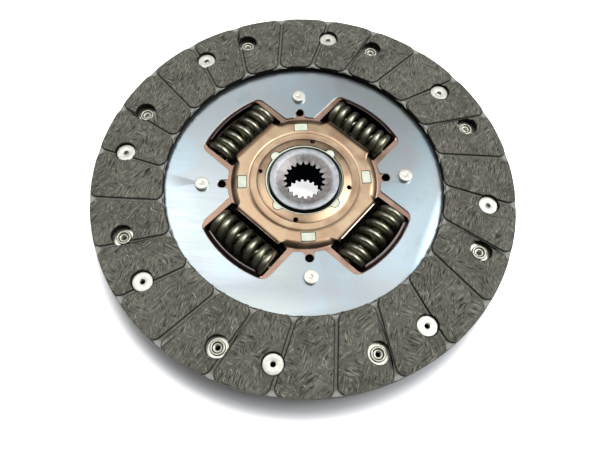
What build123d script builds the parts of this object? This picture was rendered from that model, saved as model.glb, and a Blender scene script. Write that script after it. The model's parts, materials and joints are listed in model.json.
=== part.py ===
"""Clutch disc with a sprung hub: riveted linings on a cushion disc, torsion damper, splined hub.

Millimetres, +Z up. The origin is the centre of the hub's rear end face, on the spline axis.
The front (pressure plate side) faces +Z. Stop pins stand on the X and Y axes, spring windows
halfway between them.
"""

from build123d import *
import os
from math import asin, copysign, cos, degrees, hypot, pi, radians, sin, sqrt, tan

# ---------------------------------------------------------------- driving dimensions
# Linings
lining_outer = 225.0  # diameter
lining_inner = 150.0  # diameter
lining_thickness = 3.5
groove_count = 24
groove_width = 1.8
groove_depth = 0.9
groove_offset = 18.6  # every groove is a tangent to a circle of this radius
groove_turn = -5.9  # direction of the first groove, degrees
pad_corner = 4.0

# Cushion disc, one sheet with tongues set alternately towards each lining
cushion_sheet = 0.7
cushion_joggle = 0.3
tongue_pairs = 8
tongue_turn = 25.15  # slot between the first pair of tongues, degrees
tongue_slot = 3.0
tongue_root_inset = 3.5  # the slots end inside the linings' inner edge
tongue_ramp = 4.0  # radial run of the joggle
tongue_inset = 3.5  # the tongues stop short of the linings' outer edge
cutout_radius = 41.3
cutout_half_width = 23.0
cutout_corner = 5.0
lobe_notch = 2.4  # radius of the notch round each locating hole
lobe_corner = 1.9

# Lining rivets
rivet_inset = 14.2  # rivet centres inside the linings' outer edge
rivet_split = 15.9  # angle between the two rivets of a pair, degrees
rivet_shank = 5.0
rivet_bore = 3.8
rivet_eye = 2.6  # hole through the head
rivet_web = 0.6  # head left round the eye
rivet_head = 10.0
rivet_head_thickness = 0.8
rivet_tail = 6.8
rivet_tail_height = 0.9
rivet_seat = 0.9  # lining left under the rivet head
counterbore = 10.8
shank_clearance = 0.1

# Side plates of the damper
plate_sheet = 1.5
plate_rim = 6.0  # outside the spring windows
plate_bore = 21.3  # radius
flange_gap = 0.5  # between the hub flange and each side plate
dish_shoulder = 1.6  # the dish's shoulder lies inside the windows' inner edges
dish_run = 2.4  # radial run of the dish's wall
front_dish_rise = 2.0
rear_dish_rise = 4.3
bead_radius = 30.3
bead_width = 2.4
bead_height = 0.35
cone_start = 25.3  # from here the dish dips towards the bore
cone_drop = 0.6
locating_hole = 4.3
locating_circle = 44.5  # radius
oil_hole = 2.7
oil_hole_circle = 24.4  # radius
oil_hole_turn = -14.2

# Spring windows
window_flare = 4.0  # degrees, each end opens outwards
window_corner = 1.2
hood_overhang = 2.8  # of the hood over the outside of the spring
hood_rise = 1.7
hood_half_angle = 17.0
lip_sheet = 1.2
lip_inset = 5.3  # the lip ends inside the window's ends
lip_rise = 3.3  # above the flange of the plate

# Springs
spring_count = 4
spring_circle = 47.2  # radius of the spring centres
spring_outer = 17.0
spring_wire = 4.0
spring_pitch = 6.1
spring_length = 39.0
inner_spring_outer = 8.4
inner_spring_wire = 2.4
inner_spring_pitch = 4.4
inner_spring_setback = 0.3  # at each end, inside the outer spring
spring_end_gap = 0.3
spring_side_gap = 0.5  # on the inside of a spring
hub_window_gap = 0.5  # on the outside of a spring, in the hub
hood_gap = 1.0  # on the outside of a spring, under the plates' hoods
closed_turns = 0.7  # of each end, wound close
close_pitch = 1.06  # pitch of the closed turns, in wire diameters

# Stop pins
pin_circle = 55.0  # radius
pin_body = 8.0
pin_shank = 5.6
pin_head = 7.6
pin_head_height = 2.0
pin_head_edge = 0.5
pin_dimple = 2.0
pin_dimple_depth = 0.5
stop_travel = 8.0  # degrees each way
stop_gap = 0.3

# Hub
hub_length = 22.8
hub_setback = 1.2  # the hub's front face lies below the front friction face
hub_front_radius = 19.3
hub_rear_radius = 17.5
hub_flange_thickness = 4.2
hub_flange_rim = 3.0
hub_edge = 0.8
spline_teeth = 20
spline_major = 22.0
spline_minor = 19.4
spline_pressure = 20.0  # flank angle, degrees
spline_overlap = 0.2
countersink_radius = 16.4
countersink_depth = 2.1
rear_lead_in = 1.0

# Friction pack
running_gap = 0.08
bush_rim = 21.2  # radius
bush_flange = 23.7  # radius
bush_set_back = 3.3  # front end of the bush below the front friction face
ear_radius = 3.4
ear_reach = 24.0  # radius
ring_inner = 25.4
ring_inset = 0.8  # rings inside the dish's shoulder
tab_width = 7.2
tab_length = 4.6
tab_proud = 0.1
friction_washer_thickness = 1.6
pressure_washer_thickness = 1.2
diaphragm_sheet = 0.8
drive_tab_width = 5.0
drive_tab_circle = 33.0  # radius
diaphragm_outer = 31.0  # radius
slot_gap = 0.2  # round tabs and ears in their slots

# ---------------------------------------------------------------- levels along the axis
front_face = hub_length + hub_setback
front_lining_back = front_face - lining_thickness
cushion_top = front_lining_back - cushion_joggle
cushion_bottom = cushion_top - cushion_sheet
rear_lining_front = cushion_bottom - cushion_joggle
rear_face = rear_lining_front - lining_thickness
front_plate_top = cushion_bottom
front_plate_bottom = front_plate_top - plate_sheet
flange_top = front_plate_bottom - flange_gap
flange_bottom = flange_top - hub_flange_thickness
rear_plate_top = flange_bottom - flange_gap
rear_plate_bottom = rear_plate_top - plate_sheet
spring_level = (flange_top + flange_bottom) / 2
front_dish = front_plate_top + front_dish_rise
rear_dish = rear_plate_bottom - rear_dish_rise

rivet_radius = lining_outer / 2 - rivet_inset
tongue_pitch = 360 / (2 * tongue_pairs)
tongue_root = lining_inner / 2 + tongue_root_inset
front_rivet_turn = tongue_turn + rivet_split / 2
rear_rivet_turn = tongue_turn - rivet_split / 2
window_pitch = 360 / spring_count
window_turn = window_pitch / 2
window_half_length = spring_length / 2 + spring_end_gap
window_inner = spring_circle - spring_outer / 2 - spring_side_gap
spring_reach = hypot(spring_circle + spring_outer / 2, spring_length / 2)
window_reach = spring_reach + hood_gap
hood_tip = window_reach - hood_overhang
plate_outer = window_reach + plate_rim
cutout_reach = window_reach
hub_window_reach = spring_reach + hub_window_gap
hub_flange_radius = hub_window_reach + hub_flange_rim
dish_top = window_inner - dish_shoulder
dish_base = dish_top + dish_run
ring_outer = dish_top - ring_inset
lip_half_length = window_half_length - lip_inset
inner_spring_length = spring_length - 2 * inner_spring_setback


# ---------------------------------------------------------------- shared outlines
def facing_rear(level):
    """Plane at height `level` whose own +Z looks towards the rear of the disc."""
    return Plane((0, 0, level), x_dir=(1, 0, 0), z_dir=(0, 0, -1))


def flared_window(inner, half_length, flare, outer_radius, corner):
    """Window outline about +X: straight inner edge, ends that open outwards, round outer edge."""
    slope = tan(radians(flare))
    start = half_length - slope * inner
    far = sqrt(outer_radius**2 * (1 + slope**2) - start**2)
    reach = (far - start * slope) / (1 + slope**2)
    half_far = start + slope * reach
    with BuildSketch() as outline:
        with BuildLine():
            Polyline((reach, -half_far), (inner, -half_length), (inner, half_length), (reach, half_far))
            ThreePointArc((reach, half_far), (outer_radius, 0), (reach, -half_far))
        make_face()
        fillet(outline.vertices(), corner)
    return outline.sketch


plate_window = flared_window(
    window_inner, window_half_length, window_flare, window_reach, window_corner
)


# ---------------------------------------------------------------- linings
def lining(seat_turn, access_turn):
    """Friction ring lying on z = 0, pads up.

    Its own rivets sit at `seat_turn`; the other lining's are reached through holes at `access_turn`.
    """
    lean = radians(360 / groove_count)
    first = radians(groove_turn)

    def groove_side(direction, shift):
        """Two points of a groove's side, inside and outside the ring."""
        side = groove_offset + shift
        return [
            (run * cos(direction) - side * sin(direction), run * sin(direction) + side * cos(direction))
            for run in (lining_inner / 4, lining_outer)
        ]

    low, low_far = groove_side(first, groove_width / 2)
    high, high_far = groove_side(first + lean, -groove_width / 2)
    with BuildSketch() as pad:
        with BuildLine():
            Polyline(low, low_far, high_far, high, close=True)
        make_face()
        Circle(lining_outer / 2, mode=Mode.INTERSECT)
        Circle(lining_inner / 2, mode=Mode.SUBTRACT)
        fillet(pad.vertices(), pad_corner)

    with BuildPart() as ring:
        with BuildSketch():
            Circle(lining_outer / 2)
            Circle(lining_inner / 2, mode=Mode.SUBTRACT)
        extrude(amount=lining_thickness - groove_depth)
        with BuildSketch(Plane.XY.offset(lining_thickness - groove_depth)):
            with PolarLocations(0, groove_count):
                add(pad.sketch)
        extrude(amount=groove_depth)
        with PolarLocations(rivet_radius, tongue_pairs, seat_turn):
            Hole(rivet_shank / 2 + shank_clearance)
        with BuildSketch(Plane.XY.offset(rivet_seat)):
            with PolarLocations(rivet_radius, tongue_pairs, seat_turn):
                Circle(counterbore / 2)
        extrude(amount=lining_thickness, mode=Mode.SUBTRACT)
        with PolarLocations(rivet_radius, tongue_pairs, access_turn):
            Hole(counterbore / 2)
    return ring.part


with BuildPart() as front_lining:
    with Locations((0, 0, front_lining_back)):
        add(lining(front_rivet_turn, rear_rivet_turn))
front_lining.part.label = "front_lining"

with BuildPart() as rear_lining:
    with Locations(facing_rear(rear_lining_front)):
        add(lining(-rear_rivet_turn, -front_rivet_turn))
rear_lining.part.label = "rear_lining"

# ---------------------------------------------------------------- cushion disc
tongue_end = lining_outer / 2 - tongue_inset
slot_angle = degrees(tongue_slot / tongue_end)


def tongue_section(lift):
    """Radial section of a tongue that is raised by `lift` past its joggle."""
    with BuildSketch(Plane.XZ) as section:
        with BuildLine():
            Polyline(
                (tongue_root, cushion_bottom),
                (tongue_root + tongue_ramp, cushion_bottom + lift),
                (tongue_end, cushion_bottom + lift),
                (tongue_end, cushion_top + lift),
                (tongue_root + tongue_ramp, cushion_top + lift),
                (tongue_root, cushion_top),
                close=True,
            )
        make_face()
    return section.sketch


with BuildSketch() as cutout:
    with PolarLocations(0, spring_count, window_turn):
        Rectangle(2 * cutout_reach, 2 * cutout_half_width, align=(Align.MIN, Align.CENTER))
    Circle(cutout_reach, mode=Mode.INTERSECT)
    Circle(cutout_radius)
    with PolarLocations(0, spring_count):
        Rectangle(locating_circle, 2 * lobe_notch, align=(Align.MIN, Align.CENTER))
    with PolarLocations(locating_circle, spring_count):
        Circle(lobe_notch)
    outward = lambda corner: corner.center().length
    fillet(cutout.vertices().sort_by(outward)[-2 * spring_count :], cutout_corner)
    fillet(cutout.vertices().sort_by(outward)[: 4 * spring_count], lobe_corner)

with BuildPart() as cushion_disc:
    with BuildSketch(Plane.XY.offset(cushion_bottom)):
        Circle(tongue_root)
        add(cutout.sketch, mode=Mode.SUBTRACT)
    extrude(amount=cushion_sheet)
    for index in range(2 * tongue_pairs):
        start = tongue_turn + index * tongue_pitch + slot_angle / 2
        lift = cushion_joggle if index % 2 == 0 else -cushion_joggle
        with Locations(Rotation(0, 0, start)):
            add(revolve(tongue_section(lift), Axis.Z, tongue_pitch - slot_angle, mode=Mode.PRIVATE))
    with PolarLocations(rivet_radius, tongue_pairs, front_rivet_turn):
        Hole(rivet_shank / 2 + shank_clearance)
    with PolarLocations(rivet_radius, tongue_pairs, rear_rivet_turn):
        Hole(rivet_shank / 2 + shank_clearance)
    with PolarLocations(pin_circle, spring_count):
        Hole(pin_shank / 2 + shank_clearance)
cushion_disc.part.label = "cushion_disc"


# ---------------------------------------------------------------- lining rivets
def lining_rivet():
    """Hollow rivet standing on the lining's inner face, z = 0, with its flat head up."""
    head_top = rivet_seat + rivet_head_thickness
    tail_end = -cushion_sheet - rivet_tail_height
    with BuildPart() as rivet:
        with BuildSketch(Plane.XZ):
            with BuildLine():
                Polyline(
                    (rivet_eye / 2, head_top),
                    (rivet_head / 2, head_top),
                    (rivet_head / 2, rivet_seat),
                    (rivet_shank / 2, rivet_seat),
                    (rivet_shank / 2, -cushion_sheet),
                    (rivet_tail / 2, -cushion_sheet),
                    (rivet_bore / 2, tail_end),
                    (rivet_eye / 2, head_top - rivet_web),
                    close=True,
                )
            make_face()
        revolve(axis=Axis.Z)
    return rivet.part


with BuildPart() as front_lining_rivets:
    with Locations((0, 0, front_lining_back)):
        with PolarLocations(rivet_radius, tongue_pairs, front_rivet_turn):
            add(lining_rivet())
front_lining_rivets.part.label = "front_lining_rivets"

with BuildPart() as rear_lining_rivets:
    with Locations(facing_rear(rear_lining_front)):
        with PolarLocations(rivet_radius, tongue_pairs, -rear_rivet_turn):
            add(lining_rivet())
rear_lining_rivets.part.label = "rear_lining_rivets"


# ---------------------------------------------------------------- side plates
def side_plate(rise):
    """Pressed plate with its flange's inner face on z = 0 and its dish raised by `rise`."""
    crest = plate_sheet + rise
    with BuildPart() as plate:
        with BuildSketch(Plane.XZ):
            with BuildLine():
                outline = [
                    (plate_outer, plate_sheet),
                    (dish_base, plate_sheet),
                    (dish_top, crest),
                    (bead_radius + bead_width / 2, crest),
                    (bead_radius, crest + bead_height),
                    (bead_radius - bead_width / 2, crest),
                    (cone_start, crest),
                    (plate_bore, crest - cone_drop),
                ]
                Polyline(*outline, *[(x, y - plate_sheet) for x, y in reversed(outline)], close=True)
            make_face()
        revolve(axis=Axis.Z)
        with BuildSketch():
            with PolarLocations(0, spring_count, window_turn):
                add(plate_window)
        extrude(amount=2 * crest, mode=Mode.SUBTRACT)
        # hood over the outside of each spring
        for index in range(spring_count):
            with BuildSketch(Plane.XZ.rotated((0, 0, window_turn - hood_half_angle + window_pitch * index))):
                with BuildLine():
                    Polyline(
                        (window_reach + plate_sheet / 2, 0),
                        (window_reach + plate_sheet / 2, plate_sheet / 2),
                        (window_reach, plate_sheet),
                        (hood_tip + plate_sheet / 3, plate_sheet + hood_rise),
                        (hood_tip, hood_rise + plate_sheet / 2),
                        (window_reach - plate_sheet, 0),
                        close=True,
                    )
                make_face()
            revolve(axis=Axis.Z, revolution_arc=2 * hood_half_angle)
        # turned-up lip along the straight inner edge of each window
        for index in range(spring_count):
            lip_plane = Plane.YZ.rotated((0, 0, window_turn + window_pitch * index))
            with BuildSketch(lip_plane.offset(window_inner - lip_sheet)):
                with BuildLine():
                    Polyline(
                        (-lip_half_length, 0),
                        (-lip_half_length, plate_sheet),
                        (-lip_half_length / 2, plate_sheet + lip_rise),
                        (lip_half_length / 2, plate_sheet + lip_rise),
                        (lip_half_length, plate_sheet),
                        (lip_half_length, 0),
                        close=True,
                    )
                make_face()
            extrude(amount=lip_sheet)
        with PolarLocations(pin_circle, spring_count):
            Hole(pin_shank / 2 + shank_clearance)
        with PolarLocations(locating_circle, spring_count):
            Hole(locating_hole / 2)
    return plate.part


with BuildPart() as front_plate:
    with Locations((0, 0, front_plate_bottom)):
        add(side_plate(front_dish_rise))
    with BuildSketch(Plane.XY.offset(front_plate_top)):
        with PolarLocations(ring_outer - tab_length / 2, spring_count):
            Rectangle(tab_length + 2 * slot_gap, tab_width + 2 * slot_gap)
        with PolarLocations(ear_reach - ear_radius, spring_count, window_turn):
            Circle(ear_radius + slot_gap)
        with PolarLocations(oil_hole_circle, spring_count, oil_hole_turn):
            Circle(oil_hole / 2)
    extrude(amount=2 * front_dish_rise, both=True, mode=Mode.SUBTRACT)
front_plate.part.label = "front_plate"

with BuildPart() as rear_plate:
    with Locations(facing_rear(rear_plate_top)):
        add(side_plate(rear_dish_rise))
    with BuildSketch(Plane.XY.offset(rear_dish)):
        with PolarLocations(drive_tab_circle, spring_count):
            Rectangle(pressure_washer_thickness + 2 * slot_gap, drive_tab_width + 2 * slot_gap)
    extrude(amount=2 * plate_sheet, both=True, mode=Mode.SUBTRACT)
rear_plate.part.label = "rear_plate"

# ---------------------------------------------------------------- stop pins
with BuildPart() as stop_pin:
    with BuildSketch(Plane.XZ):
        with BuildLine():
            foot = rear_plate_bottom - pin_head_height
            head = cushion_top + pin_head_height
            edge = pin_head_edge
            Polyline(
                (0, foot),
                (pin_head / 2 - edge, foot),
                (pin_head / 2, foot + edge),
                (pin_head / 2, rear_plate_bottom),
                (pin_shank / 2, rear_plate_bottom),
                (pin_shank / 2, rear_plate_top),
                (pin_body / 2, rear_plate_top),
                (pin_body / 2, front_plate_bottom),
                (pin_shank / 2, front_plate_bottom),
                (pin_shank / 2, cushion_top),
                (pin_head / 2, cushion_top),
                (pin_head / 2, head - edge),
                (pin_head / 2 - edge, head),
                (pin_dimple / 2, head),
                (0, head - pin_dimple_depth),
                close=True,
            )
        make_face()
    revolve(axis=Axis.Z)

# ---------------------------------------------------------------- hub
hub_window = flared_window(
    window_inner, window_half_length, window_flare, hub_window_reach, window_corner
)
notch_half_angle = radians(stop_travel) + asin((pin_body / 2 + stop_gap) / pin_circle)
notch_root = pin_circle - pin_body / 2 - 2 * stop_gap
with BuildSketch() as stop_notch:
    with BuildLine():
        side = 2 * hub_flange_radius * tan(notch_half_angle)
        Polyline((0, 0), (2 * hub_flange_radius, -side), (2 * hub_flange_radius, side), close=True)
    make_face()
    Circle(notch_root, mode=Mode.SUBTRACT)

pitch_radius = (spline_major + spline_minor) / 4
half_space = pi * pitch_radius / spline_teeth / 2
flank = tan(radians(spline_pressure))
spline_depth = (spline_major - spline_minor) / 2

with BuildPart() as hub:
    with BuildSketch(Plane.XZ):
        with BuildLine():
            Polyline(
                (0, rear_lead_in),
                (spline_major / 2, rear_lead_in),
                (spline_major / 2 + rear_lead_in, 0),
                (hub_rear_radius - hub_edge, 0),
                (hub_rear_radius, hub_edge),
                (hub_rear_radius, flange_bottom),
                (hub_flange_radius, flange_bottom),
                (hub_flange_radius, flange_top),
                (hub_front_radius, flange_top),
                (hub_front_radius, hub_length - hub_edge),
                (hub_front_radius - hub_edge, hub_length),
                (countersink_radius, hub_length),
                (spline_major / 2, hub_length - countersink_depth),
                (0, hub_length - countersink_depth),
                close=True,
            )
        make_face()
    revolve(axis=Axis.Z)
    # spring windows and stop notches of the flange
    with BuildSketch(Plane.XY.offset(flange_bottom)):
        with PolarLocations(0, spring_count, window_turn):
            add(hub_window)
    extrude(amount=hub_flange_thickness, mode=Mode.SUBTRACT)
    with BuildSketch(Plane.XY.offset(flange_bottom)):
        with PolarLocations(0, spring_count):
            add(stop_notch.sketch)
    extrude(amount=hub_flange_thickness, mode=Mode.SUBTRACT)
    # splined bore
    with BuildSketch():
        Circle(spline_minor / 2)
        with PolarLocations(pitch_radius, spline_teeth):
            Trapezoid(
                2 * (half_space + flank * spline_depth / 2),
                spline_depth + 2 * spline_overlap,
                90 - spline_pressure,
                rotation=-90,
            )
    extrude(amount=hub_length, mode=Mode.SUBTRACT)
hub.part.label = "hub"


# ---------------------------------------------------------------- friction pack
def bush(bore, plate_level, rim_end, sleeve_end):
    """Flanged plastic bush: sleeve on the hub, flange inside the plate, rim in the plate's bore."""
    with BuildPart() as body:
        with BuildSketch(Plane.XZ):
            with BuildLine():
                Polyline(
                    (bore, sleeve_end),
                    (bush_flange, sleeve_end),
                    (bush_flange, plate_level),
                    (bush_rim, plate_level),
                    (bush_rim, rim_end),
                    (bore, rim_end),
                    close=True,
                )
            make_face()
        revolve(axis=Axis.Z)
    return body.part


bush_seat = front_dish - cone_drop - plate_sheet - running_gap
bush_end = front_face - bush_set_back
with BuildPart() as centring_bush:
    add(bush(hub_front_radius + running_gap, bush_seat, bush_end, flange_top + running_gap))
    with BuildSketch(Plane.XY.offset(bush_seat)):
        with PolarLocations(ear_reach - ear_radius, spring_count, window_turn):
            Circle(ear_radius)
        Circle(hub_front_radius + running_gap, mode=Mode.SUBTRACT)
    extrude(amount=bush_end - bush_seat)
centring_bush.part.label = "centring_bush"

friction_top = front_dish - plate_sheet - running_gap
with BuildPart() as friction_ring:
    with BuildSketch(Plane.XY.offset(flange_top + running_gap)):
        Circle(ring_outer)
        Circle(ring_inner, mode=Mode.SUBTRACT)
    extrude(amount=friction_top - flange_top - running_gap)
    with BuildSketch(Plane.XY.offset(friction_top)):
        with PolarLocations(ring_outer - tab_length / 2, spring_count):
            Rectangle(tab_length, tab_width)
        Circle(ring_outer, mode=Mode.INTERSECT)
    extrude(amount=front_dish + tab_proud - friction_top)
friction_ring.part.label = "friction_ring"

washer_top = flange_bottom - running_gap
with BuildPart() as friction_washer:
    with BuildSketch(Plane.XY.offset(washer_top)):
        Circle(ring_outer)
        Circle(ring_inner, mode=Mode.SUBTRACT)
    extrude(amount=-friction_washer_thickness)
friction_washer.part.label = "friction_washer"

pressure_top = washer_top - friction_washer_thickness
pressure_bottom = pressure_top - pressure_washer_thickness
with BuildPart() as pressure_washer:
    with BuildSketch(Plane.XY.offset(pressure_top)):
        Circle(ring_outer)
        Circle(ring_inner, mode=Mode.SUBTRACT)
    extrude(amount=-pressure_washer_thickness)
    with BuildSketch(Plane.XY.offset(pressure_top)):
        with PolarLocations(drive_tab_circle, spring_count):
            Rectangle(pressure_washer_thickness, drive_tab_width)
    extrude(amount=rear_dish - pressure_top)
pressure_washer.part.label = "pressure_washer"

diaphragm_floor = rear_dish + plate_sheet
with BuildPart() as diaphragm_spring:
    with BuildSketch(Plane.XZ):
        with BuildLine():
            Polyline(
                (ring_inner, pressure_bottom),
                (diaphragm_outer, diaphragm_floor + diaphragm_sheet),
                (diaphragm_outer, diaphragm_floor),
                (ring_inner, pressure_bottom - diaphragm_sheet),
                close=True,
            )
        make_face()
    revolve(axis=Axis.Z)
diaphragm_spring.part.label = "diaphragm_spring"

with BuildPart() as rear_bush:
    add(
        bush(
            hub_rear_radius + running_gap,
            rear_dish + cone_drop + plate_sheet + running_gap,
            rear_dish + cone_drop,
            washer_top,
        )
    )
rear_bush.part.label = "rear_bush"


# ---------------------------------------------------------------- springs
def coil_spring(outer, wire, pitch, length, hand, steps, sides):
    """Coil spring about the Y axis, centred, its end turns wound close: straight runs, `steps` to a turn."""
    reach = (outer - wire) / 2
    active_turns = (length - wire - 2 * closed_turns * close_pitch * wire) / pitch
    half_turns = active_turns / 2 + closed_turns

    def station(turn):
        """Centre of the wire, `turn` turns from the middle of the spring."""
        inside = min(abs(turn), active_turns / 2)
        along = pitch * inside + close_pitch * wire * (abs(turn) - inside)
        angle = 2 * pi * turn * hand + pi / 2
        return Vector(reach * cos(angle), copysign(along, turn), reach * sin(angle))

    count = round(2 * half_turns * steps)
    stations = [station((2 * index / count - 1) * half_turns) for index in range(count + 1)]
    with BuildPart() as coil:
        with BuildLine() as wire_line:
            Polyline(*stations)
        with BuildSketch(Plane(stations[0], z_dir=stations[1] - stations[0])):
            RegularPolygon(wire / 2, sides)
        sweep(path=wire_line.line, transition=Transition.RIGHT)
    return coil.part


outer_form = coil_spring(spring_outer, spring_wire, spring_pitch, spring_length, -1, 10, 8)
inner_form = coil_spring(
    inner_spring_outer, inner_spring_wire, inner_spring_pitch, inner_spring_length, 1, 8, 6
)

springs = []
for index in range(spring_count):
    for name, form in (("outer_spring", outer_form), ("inner_spring", inner_form)):
        with BuildPart() as spring:
            with Locations((0, 0, spring_level)):
                with PolarLocations(spring_circle, 1, window_turn + index * window_pitch):
                    add(form)
        spring.part.label = f"{name}_{index + 1}"
        springs.append(spring.part)

pins = []
for index in range(spring_count):
    with BuildPart() as placed_pin:
        with PolarLocations(pin_circle, 1, index * window_pitch):
            add(stop_pin.part)
    placed_pin.part.label = f"stop_pin_{index + 1}"
    pins.append(placed_pin.part)

# ---------------------------------------------------------------- export
os.makedirs("parts", exist_ok=True)
pieces = [
    front_lining.part,
    rear_lining.part,
    cushion_disc.part,
    front_lining_rivets.part,
    rear_lining_rivets.part,
    front_plate.part,
    rear_plate.part,
    hub.part,
    centring_bush.part,
    friction_ring.part,
    friction_washer.part,
    pressure_washer.part,
    diaphragm_spring.part,
    rear_bush.part,
    *pins,
    *springs,
]
for piece in pieces:
    export_step(piece, f"parts/{piece.label}.step")
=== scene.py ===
import json
from math import atan2, cos, degrees, hypot, pi, radians, sin, sqrt, tan
from math import floor as floor_of

import bmesh
import bpy
from mathutils import Matrix, Vector
from mathutils.geometry import delaunay_2d_cdt


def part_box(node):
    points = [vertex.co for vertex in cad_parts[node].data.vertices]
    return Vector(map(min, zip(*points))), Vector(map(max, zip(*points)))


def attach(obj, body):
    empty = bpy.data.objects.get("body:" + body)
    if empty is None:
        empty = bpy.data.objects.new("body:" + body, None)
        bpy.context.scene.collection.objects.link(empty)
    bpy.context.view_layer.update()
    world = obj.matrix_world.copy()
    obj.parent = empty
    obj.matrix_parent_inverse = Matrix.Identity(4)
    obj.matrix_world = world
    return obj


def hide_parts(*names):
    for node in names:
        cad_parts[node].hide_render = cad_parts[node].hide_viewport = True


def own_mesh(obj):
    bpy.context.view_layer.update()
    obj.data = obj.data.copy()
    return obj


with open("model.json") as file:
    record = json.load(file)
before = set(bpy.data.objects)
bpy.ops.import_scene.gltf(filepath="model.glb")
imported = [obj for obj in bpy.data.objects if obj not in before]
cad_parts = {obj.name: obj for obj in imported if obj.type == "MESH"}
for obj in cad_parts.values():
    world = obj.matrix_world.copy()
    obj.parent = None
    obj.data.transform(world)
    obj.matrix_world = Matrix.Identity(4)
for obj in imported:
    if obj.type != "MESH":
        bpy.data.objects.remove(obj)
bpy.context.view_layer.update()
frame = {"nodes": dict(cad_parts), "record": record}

MM = 0.001

# ---------------------------------------------------------------- sizes, in millimetres
window_count = 4
window_turn = 45.0           # degrees, the first spring window
spring_circle = 47.2         # radius of the spring centres
outer_spring = {"outer": 17.0, "wire": 4.0, "pitch": 6.1, "length": 39.0, "hand": -1}
inner_spring = {"outer": 8.4, "wire": 2.4, "pitch": 4.4, "length": 38.4, "hand": 1}
closed_turns = 1.05          # of each spring end, wound close
close_share = 1.06           # pitch of the closed turns, in wire diameters
# a side plate: thicknesses, radii, heights over its flange, and the widths over which a height runs out
plate = {
    "sheet": 1.5, "thinned": 1.0, "outer": 66.0, "bore": 21.3,
    "dish": 35.3, "run": 4.2, "chord": 37.6, "step": 30.8, "step_run": 1.2, "step_drop": 0.38,
    "collar": 25.8, "collar_run": 0.6, "collar_rise": 0.12, "collar_slope": 0.19,
    "hood": 57.2, "hood_rise": 1.7, "hood_foot": 60.0, "hood_run": 2.0,
    "straight": 13.0, "rounded": 17.0,       # the dish's wall is straight beside a window, then round
}
hood_end = 17.8              # degrees from the window's middle, where a hood starts to run out
hood_gone = 20.4
hood_zone = 50.0             # a radius short of every hood
bends = ((24.6, 26.4), (29.2, 31.4), (34.8, 41.4), (56.8, 61.6))     # radii where the sheet is meshed finely
# a spring window and the lip on its inner side, as cut in the flat sheet about +X
window = {
    "inner": 35.2, "half": 19.7, "far": 56.2, "half_far": 20.4, "reach": 59.0, "corner": 0.8, "round": 3.0,
    "turn": 17.2, "ease": 1.2, "relief": 0.4,
}
lip = {"bend": 35.9, "radius": 0.9, "lean": 75.0, "length": 1.35, "half": 15.0, "sheet": 0.6}
front_flange = 19.5          # top of the front plate's flange
rear_flange = 11.3           # underside of the rear plate's flange
dish_rise = {"front": 2.0, "rear": 4.3}
front_lining_back = 20.5     # heights of the sides that the rivets pull together
rear_lining_back = 19.2
lining_outer = 112.5
lining_middle = 93.75        # radius
groove_floors = (23.1, 16.6)     # heights on the front and the rear lining
rivet_ring = 98.3            # radius
rivet_turns = {"front": 33.1, "rear": 17.2}
pin_ring = 55.0              # radius
pin_foot = 9.3
pin_hole = 2.9
locating_hole = {"ring": 44.5, "radius": 2.25}
oil_hole = {"ring": 24.4, "radius": 1.35, "turn": -14.2}
# slots for the friction ring's tabs and for the drive tabs of the pressure washer
tab_slot = {"near": 30.9, "far": 36.1, "half": 4.0, "corner": 0.8}
drive_slot = {"near": 32.2, "far": 33.8, "half": 2.7, "corner": 0.3}
ear = {"ring": 20.9, "radius": 2.7, "room": 0.35, "foot": 17.4, "top": 21.8}
bush_shift = (0.24, -0.1)    # the bush's inner rim sits a little off the axis
within = 0.999997            # keeps a copy's rounded numbers inside the solid's own box

# ---------------------------------------------------------------- node helpers


def feed(tree, node, inputs):
    """Sets inputs, by name or number, to values, or links them to sockets or to the results of nodes."""
    for name, value in inputs.items():
        if isinstance(value, bpy.types.Node):
            value = next(socket for socket in value.outputs if socket.enabled)
        if isinstance(value, bpy.types.NodeSocket):
            tree.links.new(value, node.inputs[name])
        else:
            node.inputs[name].default_value = value


def add(tree, kind, inputs=None, **settings):
    """A new node of that kind, with its settings made and its inputs fed."""
    made = tree.nodes.new(kind)
    for name, value in settings.items():
        setattr(made, name, value)
    feed(tree, made, inputs or {})
    return made


def colour(code):
    """Linear RGBA of an sRGB hex code."""
    channels = [int(code[i:i + 2], 16) / 255 for i in (1, 3, 5)]
    return [c / 12.92 if c <= 0.04045 else ((c + 0.055) / 1.055) ** 2.4 for c in channels] + [1.0]


def new_material(name):
    """A material with an empty Principled shader: its tree, the shader and Object coordinates in mm."""
    made = bpy.data.materials.new(name)
    made.use_nodes = True
    tree = made.node_tree
    place = add(tree, "ShaderNodeTexCoord").outputs["Object"]
    in_mm = add(tree, "ShaderNodeVectorMath", {0: place, "Scale": 1 / MM}, operation="SCALE")
    return made, tree, tree.nodes["Principled BSDF"], in_mm


def past(tree, *edges):
    """Share, 0 to 1, by which all these edges are passed.

    An edge is a share made before, or (measure, none, whole): eased from 0 where the measure is `none`
    to 1 where it is `whole`. A fourth number takes the place of the 1.
    """
    share = None
    for edge in edges:
        if isinstance(edge, tuple):
            sockets = dict(zip((0, 1, 2, 4), edge))
            edge = add(tree, "ShaderNodeMapRange", sockets, interpolation_type="SMOOTHSTEP")
        if share is None:
            share = edge
        else:
            share = add(tree, "ShaderNodeMath", {0: share, 1: edge}, operation="MULTIPLY")
    return share


def coated(tree, base, coat, *edges):
    """`base` under a coat, a hex code or a made colour, as far as all these edges are passed."""
    over = colour(coat) if isinstance(coat, str) else coat
    return add(tree, "ShaderNodeMix", {0: past(tree, *edges), 6: base, 7: over}, data_type="RGBA")


def stretched(tree, place, turn, length):
    """Coordinates turned about Z and drawn out `length` times, so that a pattern runs in one direction."""
    spun = add(tree, "ShaderNodeMapping", {"Vector": place, "Rotation": (0, 0, radians(turn))})
    return add(tree, "ShaderNodeMapping", {"Vector": spun, "Scale": (1 / length, 1, 1)})


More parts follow.
